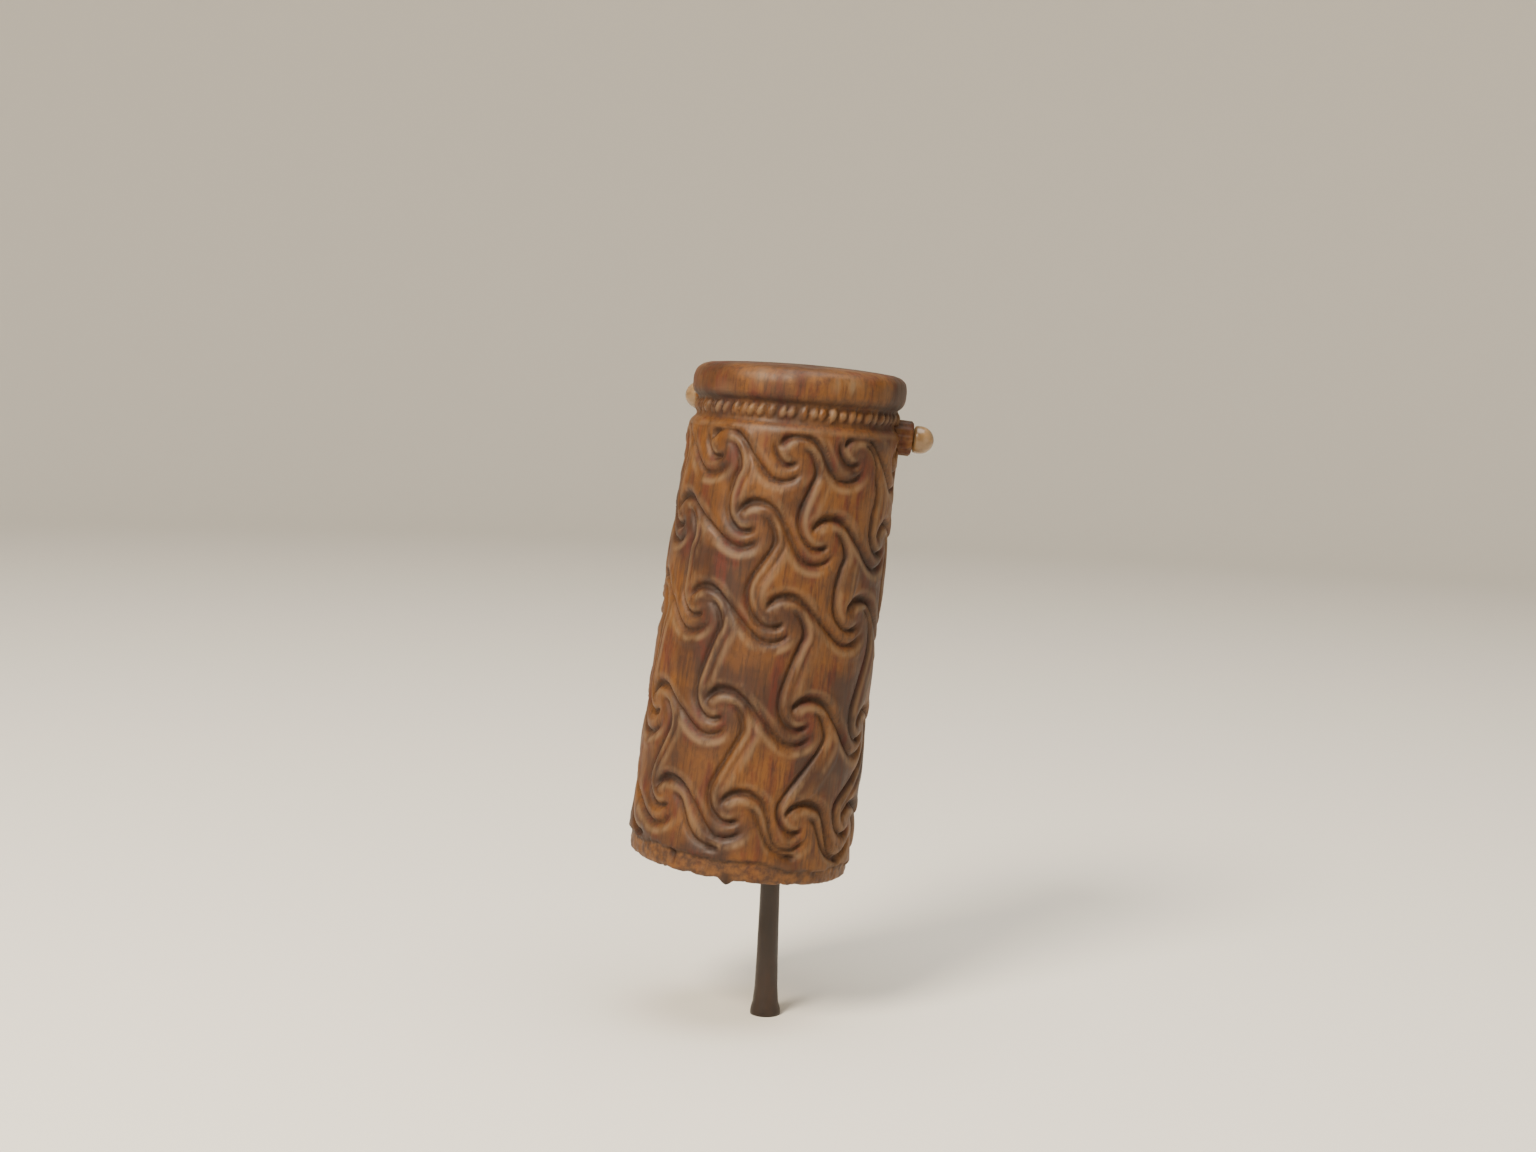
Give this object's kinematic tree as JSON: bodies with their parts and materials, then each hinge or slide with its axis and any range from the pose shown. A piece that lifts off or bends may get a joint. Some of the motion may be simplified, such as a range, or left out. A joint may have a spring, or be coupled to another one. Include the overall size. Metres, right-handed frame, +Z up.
{
  "type": "cylinder seal",
  "caption": "Small carved cylinder with rows of interlocking running spirals, a beaded neck and a domed lip, held up on a thin display rod.",
  "frame": {"origin": "middle of the display rod's foot, on the surface that the rod is set on", "axes": "+Z up along the rod, -Y towards the viewer of the picture, +X to the viewer's right; the seal leans 5.2 degrees towards +X on the rod"},
  "size_m": [0.0269, 0.021, 0.061],
  "materials": {
    "carved_body": "soft hand-worn gloss over stained, fibrous bone or antler, dark in the grooves",
    "stud": "smooth, pale and slightly waxy",
    "rod": "dark brown painted steel"
  },
  "bodies": {
    "root": {"carved_cylinder": "carved_body", "right_stud": "stud", "left_stud": "stud", "display_rod": "rod"}
  },
  "joints": []
}
